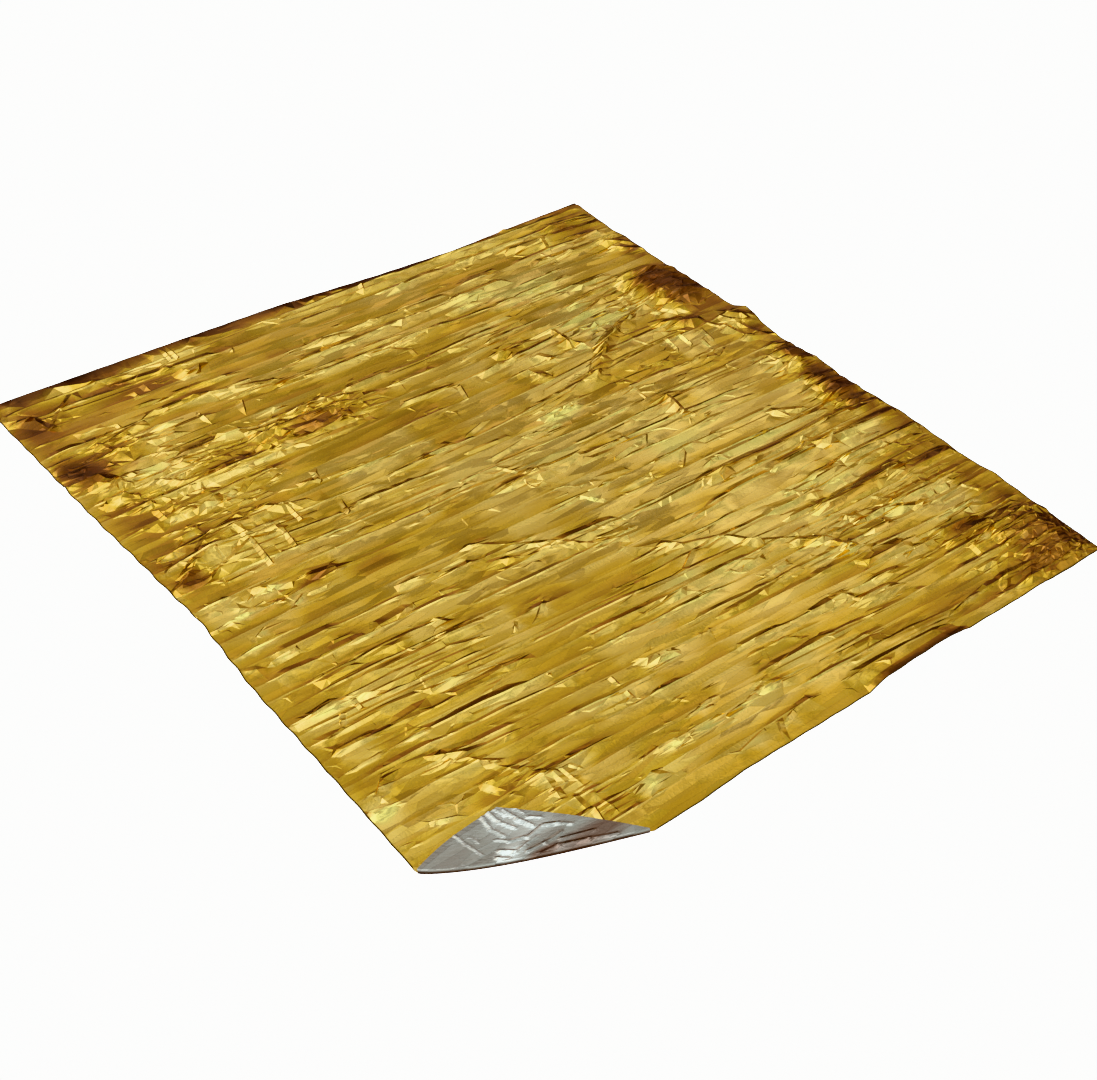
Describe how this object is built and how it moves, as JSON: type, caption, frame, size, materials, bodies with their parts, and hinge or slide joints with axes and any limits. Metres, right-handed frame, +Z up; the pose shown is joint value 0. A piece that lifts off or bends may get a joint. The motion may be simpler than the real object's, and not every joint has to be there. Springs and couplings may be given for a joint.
{
  "type": "emergency foil blanket",
  "caption": "Thin crinkled foil rescue blanket laid out on a surface, gold face up, with one corner turned over to its silver back; keeps a person warm.",
  "frame": {"origin": "middle of the laid sheet's box, on the surface it lies on", "axes": "+X along the long pleats, towards the right, +Y across them, away from the turned corner, +Z up from the surface"},
  "size_m": [1.6522, 1.859, 0.0266],
  "materials": {
    "gold_foil": "gold-coloured metallised polyester film, bright and crinkled",
    "silver_foil": "silver metallised back of the same film"
  },
  "bodies": {
    "root": {"foil_sheet": "gold_foil"}
  },
  "joints": []
}
